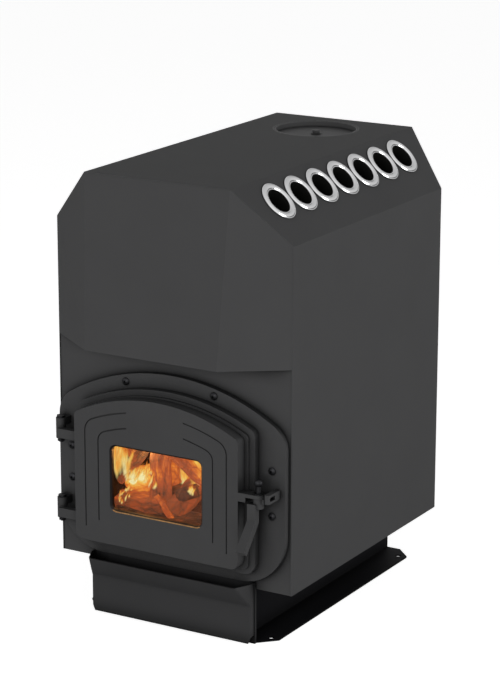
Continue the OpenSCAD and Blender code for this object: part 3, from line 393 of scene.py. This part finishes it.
def dressNodes():
    coat = {name: makeCoat(name) for name in coats}
    metal = {name: makeMetal(name) for name in metals}
    soot = makeSootSteel()
    tube = makeTubeSteel()
    finish = {
        coat["sheetEnamel"]: ["casing_wrap", "front_wall", "front_hood", "rear_wall", "rear_hood",
                              "rear_spigot"],
        coat["litLidEnamel"]: ["top_well", "flue_plug", "plug_bolt"],
        coat["drawerEnamel"]: ["drawer_front"],
        coat["castEnamel"]: ["door_portal", "door_leaf", "door_handle", "latch_keeper"],
        coat["baseEnamel"]: ["base_front", "base_rear", "base_floor"],
        coat["shadedRailEnamel"]: ["left_rail", "right_rail", "drawer_runners", "ash_tray", "tray_sides",
                             "tray_ends"],
        metal["chrome"]: ["left_tube_rings", "right_tube_rings"],
        metal["springSteel"]: ["glass_clips", "clip_screws"],
        metal["blackBolt"]: ["portal_screws", "hinge_pins", "keeper_screw", "latch_pin"],
        soot: ["body_floor", "firebox_shell", "flame_baffle", "fire_grate"],
        tube: ["left_tubes", "right_tubes"],
        makeGlass(): ["door_glass"],
        makeRope(): ["glass_gasket", "door_seal"],
    }
    for mat, names in finish.items():
        for name in names:
            slots = nodes[name].data.materials
            slots.clear()
            slots.append(mat)
    print("finishes given to", sum(len(names) for names in finish.values()), "nodes")


# Pieces made here


def addPiece(name, bm, mat, body, smooth=True):
    bmesh.ops.recalc_face_normals(bm, faces=bm.faces)
    mesh = bpy.data.meshes.new(name)
    bm.to_mesh(mesh)
    bm.free()
    if smooth:
        mesh.shade_smooth()
    mesh.materials.append(mat)
    piece = bpy.data.objects.new(name, mesh)
    scene.collection.objects.link(piece)
    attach(piece, body)
    return piece


def addMappedFace(bm, uv, corners):
    # corners are pairs of a vertex and its place on the map
    face = bm.faces.new([vert for vert, spot in corners])
    for loop, (vert, spot) in zip(face.loops, corners):
        loop[uv].uv = spot


# Fire: logs, embers and flames on the grate. Their places and sizes are in millimetres.


heatSpots = [
    # middle of each hot place in metres, its reach and the heat that it adds, or takes where it cools
    ((-0.112, -0.196, 0.232), 0.050, 0.34),
    ((-0.125, -0.192, 0.242), 0.014, 0.45),
    ((-0.099, -0.190, 0.251), 0.013, 0.45),
    ((-0.124, -0.190, 0.218), 0.015, 0.45),
    ((-0.105, -0.190, 0.226), 0.014, 0.40),
    ((-0.078, -0.200, 0.236), 0.034, 0.22),
    ((0.000, -0.190, 0.226), 0.016, 0.55),
    ((-0.020, -0.150, 0.246), 0.034, 0.36),
    ((0.080, -0.150, 0.200), 0.050, 0.45),
    ((-0.010, -0.060, 0.200), 0.080, 0.40),
    ((-0.134, -0.200, 0.262), 0.032, 0.42),
    ((-0.086, -0.196, 0.252), 0.022, 0.34),
    ((-0.064, -0.198, 0.246), 0.030, 0.18),
    ((-0.008, -0.190, 0.270), 0.030, 0.28),
    ((0.014, -0.180, 0.260), 0.036, 0.42),
    ((-0.135, -0.204, 0.206), 0.026, 0.20),
    ((0.010, -0.186, 0.226), 0.034, 0.26),
    ((-0.045, -0.190, 0.278), 0.060, 0.10),
    ((-0.120, -0.200, 0.166), 0.050, -0.20),
    ((-0.060, -0.200, 0.162), 0.050, -0.16),
    ((0.000, -0.196, 0.156), 0.044, -0.06),
]

glows = {
    # name: heat of its own, share of the pattern in it, scale of the pattern
    "charWood": (0.10, 0.34, 60.0),
    "warmWood": (0.30, 0.52, 46.0),
    "hotWood": (0.46, 0.40, 52.0),
    "coalGlow": (0.12, 0.40, 90.0),
}

glowTones = (
    (0.05, (0.020, 0.010, 0.007)), (0.22, (0.12, 0.036, 0.016)), (0.36, (0.28, 0.062, 0.020)),
    (0.50, (0.46, 0.085, 0.022)), (0.62, (0.74, 0.17, 0.026)), (0.76, (0.95, 0.36, 0.045)),
    (0.90, (1.0, 0.66, 0.13)), (1.0, (1.0, 0.90, 0.45)),
)


def addHeat(tree, place):
    # the fire's heat at a place: the hot spots added up
    total = None
    for middle, reach, gain in heatSpots:
        gap = tree.nodes.new("ShaderNodeVectorMath")
        gap.operation = "DISTANCE"
        tree.links.new(place, gap.inputs[0])
        gap.inputs[1].default_value = middle
        warm = tree.nodes.new("ShaderNodeMapRange")
        warm.interpolation_type = "SMOOTHSTEP"
        warm.inputs["From Max"].default_value = reach
        warm.inputs["To Min"].default_value = gain
        warm.inputs["To Max"].default_value = 0.0
        tree.links.new(gap.outputs["Value"], warm.inputs["Value"])
        gained = warm.outputs["Result"]
        total = gained if total is None else addMath(tree, "ADD", total, gained)
    return total


def makeGlowWood(name):
    # burning wood: glowing fibres along the log, cracks across it and the heat of the fire round it
    own, share, scale = glows[name]
    mat, tree, shader = startMaterial(name)
    place = tree.nodes.new("ShaderNodeTexCoord")
    along = tree.nodes.new("ShaderNodeMapping")  # UV: u round the log, v along it, both in metres
    along.inputs["Scale"].default_value = (1.0, 0.28, 1.0)
    tree.links.new(place.outputs["UV"], along.inputs["Vector"])
    fibre = tree.nodes.new("ShaderNodeTexNoise")
    fibre.inputs["Scale"].default_value = scale * 3
    fibre.inputs["Detail"].default_value = 6.0
    fibre.inputs["Distortion"].default_value = 0.6
    tree.links.new(along.outputs["Vector"], fibre.inputs["Vector"])
    crack = tree.nodes.new("ShaderNodeTexVoronoi")
    crack.feature = "DISTANCE_TO_EDGE"
    crack.inputs["Scale"].default_value = scale
    tree.links.new(place.outputs["Object"], crack.inputs["Vector"])
    patch = addNoise(tree, scale * 0.5, 4.0, 0.6)
    seam = addRange(tree, crack.outputs["Distance"], -0.10, 0.0, 0.0, 0.08)
    rough = addMath(tree, "ADD", addRange(tree, patch.outputs["Fac"], -0.6, 0.6, 0.25, 0.75),
                    addRange(tree, fibre.outputs["Fac"], -0.5, 0.5, 0.3, 0.7))
    pattern = addMath(tree, "MULTIPLY", rough, share * 0.5)
    warm = addMath(tree, "ADD", addHeat(tree, place.outputs["Object"]), own + share * 0.25)
    heat = addMath(tree, "ADD", addMath(tree, "ADD", warm, pattern), seam)
    tree.links.new(addRamp(tree, heat, glowTones), shader.inputs["Emission Color"])
    shader.inputs["Emission Strength"].default_value = 1.0
    ash = addNoise(tree, scale * 6, 4.0)
    tree.links.new(addBlend(tree, ash.outputs["Fac"], (0.015, 0.011, 0.009), (0.09, 0.075, 0.065)),
                   shader.inputs["Base Color"])
    tree.links.new(addRange(tree, ash.outputs["Fac"], 0.75, 0.98), shader.inputs["Roughness"])
    shader.inputs["Specular IOR Level"].default_value = 0.1
    addBump(tree, shader, [(ash.outputs["Fac"], 0.5), (fibre.outputs["Fac"], 0.5)], 0.002)
    return mat


logs = [
    # name, start, end, radius, split planes as (angle, distance), glow, seed
    ("log_front", (-140, -216, 158), (70, -196, 150), 34, ((80, 0.60), (150, 0.8)), "coalGlow", 1),
    ("log_front_right", (30, -206, 140), (132, -170, 150), 28, ((60, 0.6),), "charWood", 21),
    ("log_back", (-122, -90, 158), (124, -120, 166), 38, ((250, 0.6),), "charWood", 2),
    ("log_middle", (-74, -186, 176), (-50, -198, 300), 22, ((200, 0.5), (320, 0.7), (90, 0.8)), "warmWood", 3),
    ("log_right", (-56, -190, 286), (48, -176, 214), 22, ((300, 0.6), (210, 0.8)), "warmWood", 4),
    ("log_left", (-140, -166, 202), (-46, -160, 232), 27, ((270, 0.5),), "hotWood", 5),
    ("log_branch", (-78, -200, 290), (-140, -206, 216), 7, (), "charWood", 6),
    ("log_top", (-132, -190, 262), (-98, -110, 300), 20, ((240, 0.6),), "charWood", 7),
    ("log_stub", (-20, -204, 212), (-10, -130, 206), 13, ((30, 0.7), (120, 0.8)), "charWood", 8),
    ("log_far", (20, -90, 196), (118, -150, 236), 27, ((220, 0.6),), "warmWood", 9),
    ("log_right_end", (60, -196, 180), (128, -120, 190), 22, ((120, 0.6),), "hotWood", 10),
    ("log_centre", (-44, -206, 168), (-8, -150, 226), 20, ((40, 0.6), (160, 0.7)), "warmWood", 12),
    ("log_low", (-146, -196, 178), (-58, -190, 186), 24, ((80, 0.7), (200, 0.7)), "warmWood", 14),
    ("log_splinter", (-30, -214, 170), (-62, -214, 206), 5, (), "hotWood", 13),
]


bark = {
    "step": 5,  # length of a ring of faces
    "around": 48,
    "bend": 6,  # how far a log wanders from its line
    "ridges": 0.14,  # coarse and fine relief, in shares of the radius
    "fibres": 0.09,
    "ends": 0.10,  # how much the ends draw in
    "skew": 0.25,  # how far a broken end leans
}


def makeLog(name, start, end, radius, planes, mat, seed):
    # a split log: a round section cut flat by its planes, swept along a slightly bent line
    start, end = Vector(start), Vector(end)
    length = (end - start).length
    axis = (end - start).normalized()
    across = axis.cross(Vector((0, 0, 1))).normalized()
    over = across.cross(axis)
    rings = max(10, int(length / bark["step"]))
    around = bark["around"]
    bm = bmesh.new()
    uv = bm.loops.layers.uv.new("grain")
    rows = []
    for i in range(rings + 1):
        t = i / rings
        centre = start.lerp(end, t)
        sideways = across * noise.noise(Vector((t * 2, seed, 3)))
        upwards = over * noise.noise(Vector((t * 2, seed, 7)))
        centre += (sideways + upwards) * bark["bend"]
        row = []
        for j in range(around):
            a = 2 * math.pi * j / around
            reach = 1.0
            for turn, gap in planes:
                facing = math.cos(a - math.radians(turn))
                if facing > 0.01:
                    reach = min(reach, gap / facing)
            ridge = noise.noise(Vector((math.cos(a) * 3, math.sin(a) * 3, t * 1.5 + seed * 5)))
            fine = noise.noise(Vector((math.cos(a) * 11, math.sin(a) * 11, t * 5 + seed)))
            edge = 1.0 - bark["ends"] * (abs(2 * t - 1) ** 14)
            r = radius * reach * edge * (1 + bark["ridges"] * ridge + bark["fibres"] * fine)
            atEnd = 1 if i in (0, rings) else 0
            skew = bark["skew"] * radius * math.cos(a) * atEnd * noise.noise(Vector((seed, i, 0)))
            point = centre + across * r * math.cos(a) + over * r * math.sin(a) + axis * skew
            row.append(bm.verts.new(point / 1000))
        rows.append(row)
    turnStep = 2 * math.pi * radius / around / 1000
    ringStep = length / rings / 1000
    for i in range(rings):
        for j in range(around):
            k = (j + 1) % around
            u0, u1, v0, v1 = j * turnStep, (j + 1) * turnStep, i * ringStep, (i + 1) * ringStep
            addMappedFace(bm, uv, ((rows[i][j], (u0, v0)), (rows[i][k], (u1, v0)),
                                   (rows[i + 1][k], (u1, v1)), (rows[i + 1][j], (u0, v1))))
    for i, place in ((0, start), (rings, end)):
        hub = bm.verts.new(place / 1000)
        for j in range(around):
            spots = [(0.5 + math.cos(a) * radius / 1000, math.sin(a) * radius / 1000)
                     for a in (2 * math.pi * j / around, 2 * math.pi * (j + 1) / around)]
            k = (j + 1) % around
            addMappedFace(bm, uv, ((rows[i][j], spots[0]), (rows[i][k], spots[1]), (hub, (0.5, 0.0))))
    addPiece(name, bm, mat, "stove")


embers = {
    "count": 190,
    "low": (-122, -232),  # corner of the bed on the floor
    "high": (122, 150),
    "size": (9, 19),  # half widths
    "seat": 0.95,  # height of a coal's middle, times its size
    "stack": 1.1,  # and how much higher every third one lies
    "flat": 0.9,  # where a coal's underside is cut
    "seed": 11,
}


def makeEmbers(mat):
    # broken coals heaped on the grate and on the floor round it
    draw = random.Random(embers["seed"])
    bm = bmesh.new()
    (x0, y0), (x1, y1) = embers["low"], embers["high"]
    grateLow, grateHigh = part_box("fire_grate")
    floorTop = grateLow[2] * 1000
    grateTop = grateHigh[2] * 1000
    for i in range(embers["count"]):
        x, y = draw.uniform(x0, x1), draw.uniform(y0, y1)
        size = draw.uniform(*embers["size"])
        onGrate = abs(x) < grateHigh[0] * 1000 + size and abs(y) < grateHigh[1] * 1000 + size
        z = (grateTop if onGrate else floorTop) + size * embers["seat"]
        if i % 3 == 2:
            z += size * embers["stack"]
        angle = draw.uniform(0, 6.28)
        spin = Matrix.Rotation(angle, 3, Vector((draw.uniform(-1, 1), draw.uniform(-1, 1), 1)))
        stretch = Vector((draw.uniform(0.8, 1.15), draw.uniform(0.7, 1.0), draw.uniform(0.55, 0.8)))
        shift = draw.uniform(0, 100)
        made = bmesh.ops.create_icosphere(bm, subdivisions=2, radius=1.0)
        for vert in made["verts"]:
            way = vert.co.normalized()
            dent = 0.86 + 0.34 * noise.noise(way * 1.4 + Vector((shift, 0, 0)))
            point = Vector((way.x * stretch.x, way.y * stretch.y, way.z * stretch.z)) * size * dent
            point = spin @ point
            point.z = max(point.z, -size * embers["flat"])
            vert.co = (Vector((x, y, z)) + point) / 1000
    addPiece("embers", bm, mat, "stove", smooth=False)


flameTones = (
    # from foot to tip
    (0.0, (1.0, 0.84, 0.38)), (0.35, (1.0, 0.62, 0.13)), (0.65, (1.0, 0.36, 0.05)), (1.0, (0.80, 0.14, 0.02)),
)


def makeFlameGlow():
    # UV: u runs across a tongue and v from its foot to its tip; both ends and the sides thin out
    mat, tree, shader = startMaterial("flameGlow")
    place = tree.nodes.new("ShaderNodeTexCoord")
    split = tree.nodes.new("ShaderNodeSeparateXYZ")
    tree.links.new(place.outputs["UV"], split.inputs["Vector"])
    lick = addNoise(tree, 110.0, 3.0, 0.5, (1.0, 1.0, 0.3))
    sway = addRange(tree, lick.outputs["Fac"], -0.35, 0.35, 0.3, 0.7)
    rise = addMath(tree, "ADD", split.outputs["Y"], sway)
    tree.links.new(addRamp(tree, rise, flameTones), shader.inputs["Emission Color"])
    shader.inputs["Emission Strength"].default_value = 1.0
    shader.inputs["Base Color"].default_value = (0, 0, 0, 1)
    shader.inputs["Specular IOR Level"].default_value = 0.0
    side = addRange(tree, addMath(tree, "PINGPONG", split.outputs["X"], 0.5), 0.0, 1.0, 0.0, 0.42)
    foot = addRange(tree, split.outputs["Y"], 0.0, 1.0, 0.0, 0.35)
    tip = addRange(tree, rise, 1.0, 0.0, 0.45, 1.1)
    ends = addMath(tree, "MULTIPLY", foot, tip)
    veil = addMath(tree, "MULTIPLY", addMath(tree, "MULTIPLY", side, ends), 0.8)
    tree.links.new(veil, shader.inputs["Alpha"])
    return mat


flames = [
    # name, middle of the feet, spread of the feet, tongues, heights, widths, lean, seed
    ("flames_left", (-128, -224, 236), (10, 6, 12), 14, (56, 86), (6, 12), (2, 1), 1),
    ("flames_low_left", (-134, -222, 182), (7, 6, 10), 6, (8, 16), (3, 5), (2, 0), 2),
    ("flames_white", (-118, -212, 222), (14, 8, 14), 13, (14, 30), (4, 8), (10, 0), 3),
    ("flames_middle", (-98, -206, 232), (12, 7, 12), 9, (14, 32), (4, 9), (10, 0), 4),
    ("flames_low", (-124, -214, 196), (10, 8, 10), 8, (8, 20), (3, 6), (4, 0), 5),
    ("flames_spot", (4, -212, 218), (4, 4, 4), 6, (10, 20), (4, 8), (2, 0), 6),
    ("flames_top_right", (-22, -160, 218), (22, 10, 6), 12, (28, 58), (9, 18), (4, 2), 7),
    ("flames_mass", (-76, -212, 226), (9, 3, 16), 7, (16, 34), (4, 8), (6, 0), 8),
    ("flames_right", (78, -176, 190), (34, 14, 8), 18, (36, 84), (9, 18), (2, 2), 9),
    ("flames_back", (-10, -50, 190), (50, 20, 8), 18, (60, 120), (12, 26), (-4, 4), 10),
]


tongues = {
    "steps": 14,
    "around": 10,
    "turn": (10, 50),  # which way a tongue is broad, in degrees
    "drift": (-0.15, 0.25),  # shares of the height
    "sway": 0.9,  # share of the width
    "thin": 0.35,  # depth over width
    "ragged": 0.3,
}


def makeFlames(name, foot, spread, count, heights, widths, lean, mat, seed):
    # a patch of tongues: each a thin lens-shaped section that sways as it rises and runs out in a tip
    draw = random.Random(seed)
    steps, around = tongues["steps"], tongues["around"]
    bm = bmesh.new()
    uv = bm.loops.layers.uv.new("tongue")
    for tongue in range(count):
        root = Vector([middle + draw.uniform(-reach, reach) for middle, reach in zip(foot, spread)])
        height, width = draw.uniform(*heights), draw.uniform(*widths)
        turn = math.radians(draw.uniform(*tongues["turn"]))
        drift = draw.uniform(*tongues["drift"]) * height
        shift = draw.uniform(0, 50)
        broad = Vector((math.cos(turn), math.sin(turn), 0))
        deep = Vector((-broad.y, broad.x, 0))

        def centreAt(t):
            sway = noise.noise(Vector((t * 2.2, shift, 1))) * width * tongues["sway"] * t
            return root + Vector((lean[0] * t, lean[1] * t, height * t)) + broad * (sway + drift * t * t)

        rows = []
        for i in range(1, steps):
            t = i / steps
            flicker = 1 + tongues["ragged"] * noise.noise(Vector((t * 4, shift, 9)))
            half = width / 2 * math.sin(math.pi * t ** 0.62) ** 0.8 * flicker  # broadest below its middle
            row = []
            for j in range(around):
                a = 2 * math.pi * j / around
                point = centreAt(t) + broad * half * math.cos(a) + deep * half * tongues["thin"] * math.sin(a)
                row.append((bm.verts.new(point / 1000), (0.5 + 0.5 * math.cos(a), t)))
            rows.append(row)
        base = (bm.verts.new(centreAt(0.0) / 1000), (0.5, 0.0))
        tip = (bm.verts.new(centreAt(1.0) / 1000), (0.5, 1.0))
        for low, high in zip(rows, rows[1:]):
            for j in range(around):
                k = (j + 1) % around
                addMappedFace(bm, uv, (low[j], low[k], high[k], high[j]))
        for j in range(around):
            k = (j + 1) % around
            addMappedFace(bm, uv, (rows[-1][j], rows[-1][k], tip))
            addMappedFace(bm, uv, (rows[0][k], rows[0][j], base))
    addPiece(name, bm, mat, "stove")


fireLight = {
    "colour": (1.0, 0.42, 0.12),
    "lamps": [
        # place in metres, radius, watts
        ((-0.075, -0.222, 0.285), 0.020, 0.5),
        ((0.030, -0.100, 0.300), 0.040, 1.0),
    ],
}


def makeFire():
    glow = {name: makeGlowWood(name) for name in glows}
    for name, start, end, radius, planes, heat, seed in logs:
        makeLog(name, start, end, radius, planes, glow[heat], seed)
    makeEmbers(glow["coalGlow"])
    tongue = makeFlameGlow()
    for name, foot, spread, count, heights, widths, lean, seed in flames:
        makeFlames(name, foot, spread, count, heights, widths, lean, tongue, seed)
    for i, (place, radius, watts) in enumerate(fireLight["lamps"]):
        data = bpy.data.lights.new(f"fireLamp_{i + 1}", "POINT")
        data.energy = watts
        data.color = fireLight["colour"]
        data.shadow_soft_size = radius
        lamp = bpy.data.objects.new(data.name, data)
        lamp.location = place
        scene.collection.objects.link(lamp)
    print("fire made:", len(logs), "logs and", len(flames), "patches of flames")


# Window trim: a thin strip in the cut round the glass, with painted shade on its sides and painted firelight along
# its foot


trim = {
    "lap": 0.013,  # how far the glass reaches under the leaf
    "chamfer": 0.003,
    "corner": 0.010,
    "proud": 0.0002,  # clear of the casting under it
    "thick": 0.0004,
    "cornerSteps": 8,
}


def makeTrimMetal():
    # near black painted shade on the sides, and along the foot a brown strip with a painted glow that stands for
    # the fire's light on it
    mat, tree, shader = startMaterial("trimPaintedShadeAndGlow")
    place = tree.nodes.new("ShaderNodeTexCoord")
    split = tree.nodes.new("ShaderNodeSeparateXYZ")
    tree.links.new(place.outputs["Object"], split.inputs["Vector"])
    stain = addNoise(tree, 160.0, 4.0)
    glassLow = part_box("door_glass")[0]
    sill = glassLow[2] + trim["lap"]
    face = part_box("door_leaf")[0][1] + trim["chamfer"]
    foot = addRange(tree, split.outputs["Z"], 1.0, 0.0, sill + 0.0002, sill + 0.0012)
    near = addRange(tree, split.outputs["Y"], 1.0, 0.0, face - 0.0016, face - 0.0010)
    low = addMath(tree, "MULTIPLY", foot, near)
    tint = addBlend(tree, stain.outputs["Fac"], (0.12, 0.055, 0.020), (0.34, 0.20, 0.09))
    # painted shade: near black everywhere except the brown strip along the foot
    tree.links.new(addBlend(tree, low, (0.012, 0.009, 0.008), tint), shader.inputs["Base Color"])
    tree.links.new(addRange(tree, stain.outputs["Fac"], 0.35, 0.6), shader.inputs["Roughness"])
    shader.inputs["Metallic"].default_value = 0.6
    # painted light: the strip along the foot glows as if lit by the fire
    glow = addMath(tree, "MULTIPLY", low, addRange(tree, stain.outputs["Fac"], 0.05, 0.5, 0.3, 0.7))
    shader.inputs["Emission Color"].default_value = (0.42, 0.20, 0.05, 1)
    tree.links.new(glow, shader.inputs["Emission Strength"])
    return mat


def makeTrim():
    low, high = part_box("door_glass")
    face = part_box("door_leaf")[0][1]
    lap, proud, corner = trim["lap"], trim["proud"], trim["corner"]
    x0, x1, z0, z1 = low[0] + lap, high[0] - lap, low[2] + lap, high[2] - lap

    def ringPoints(out, y):
        radius = corner + out
        spots = []
        for cx, cz, start in ((x1 - corner, z0 + corner, -90), (x1 - corner, z1 - corner, 0),
                              (x0 + corner, z1 - corner, 90), (x0 + corner, z0 + corner, 180)):
            for step in range(trim["cornerSteps"] + 1):
                a = math.radians(start + step * 90 / trim["cornerSteps"])
                spots.append((cx + radius * math.cos(a), y, cz + radius * math.sin(a)))
        return spots

    bm = bmesh.new()
    rings = [ringPoints(trim["chamfer"] - 2 * proud, face + proud),
             ringPoints(-proud, face + trim["chamfer"]),
             ringPoints(-proud, low[1] - proud)]
    rows = [[bm.verts.new(spot) for spot in ring] for ring in rings]
    for near, far in zip(rows, rows[1:]):
        for j in range(len(near)):
            k = (j + 1) % len(near)
            bm.faces.new((near[j], near[k], far[k], far[j]))
    piece = addPiece("window_trim", bm, makeTrimMetal(), "door", smooth=False)
    shell = piece.modifiers.new("sheet", "SOLIDIFY")
    shell.thickness = trim["thick"]
    shell.offset = 1.0
    print("window trimmed")


# Drawer front: the folded sheet of the CAD part, with rounded bends and a panel that reaches the floor


drawer = {
    "foot": 0.002,  # clear of the floor
    "cutWide": 0.006,  # cut of the lower corners
    "cutHigh": 0.013,
    "crease": 0.067,  # height where the lip leans out
    "sides": 0.010,  # depth of the side returns
    "taper": 0.015,  # how much the lip narrows on each side
    "sheet": 0.002,
    "bend": 0.004,  # how far each bend is rounded
    "bendSteps": 5,
    "bendFrom": 12,  # degrees; flatter joins stay as they are
}


def makeDrawerFront(mat):
    low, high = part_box("drawer_front")
    half, back, top, tip = high[0], high[1], high[2], low[1]
    face = back - drawer["sides"]
    foot, crease = drawer["foot"], drawer["crease"]
    cutTop = foot + drawer["cutHigh"]
    cutX = half - drawer["cutWide"]
    lipX = half - drawer["taper"]
    bm = bmesh.new()
    panel = [bm.verts.new(spot) for spot in (
        (-cutX, face, foot), (cutX, face, foot), (half, face, cutTop), (half, face, crease),
        (-half, face, crease), (-half, face, cutTop))]
    lip = [bm.verts.new((side * lipX, tip, top)) for side in (-1, 1)]
    bm.faces.new(panel)
    bm.faces.new((panel[4], panel[3], lip[1], lip[0]))
    for side, crest, cut, end in ((-1, panel[4], panel[5], lip[0]), (1, panel[3], panel[2], lip[1])):
        corner = bm.verts.new((side * half, face, top))
        rear = [bm.verts.new((side * half, back, z)) for z in (cutTop, top)]
        bm.faces.new((crest, end, corner))
        bm.faces.new((cut, crest, corner, rear[1], rear[0]))
    piece = addPiece("drawer_face", bm, mat, "drawer")
    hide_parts("drawer_front")
    bend = piece.modifiers.new("bends", "BEVEL")
    bend.width = drawer["bend"]
    bend.segments = drawer["bendSteps"]
    bend.limit_method = "ANGLE"
    bend.angle_limit = math.radians(drawer["bendFrom"])
    shell = piece.modifiers.new("sheet", "SOLIDIFY")
    shell.thickness = drawer["sheet"]
    shell.use_even_offset = True
    shell.offset = -1.0 if piece.data.polygons[0].normal.y < 0 else 1.0  # the sheet grows inwards
    piece.modifiers.new("shading", "WEIGHTED_NORMAL")
    print("drawer front made")


makeCamera()
makeStudio()
makeFloor()
dressNodes()
makeFire()
makeTrim()
makeDrawerFront(bpy.data.materials["drawerEnamel"])

scene.view_settings.view_transform = "Standard"
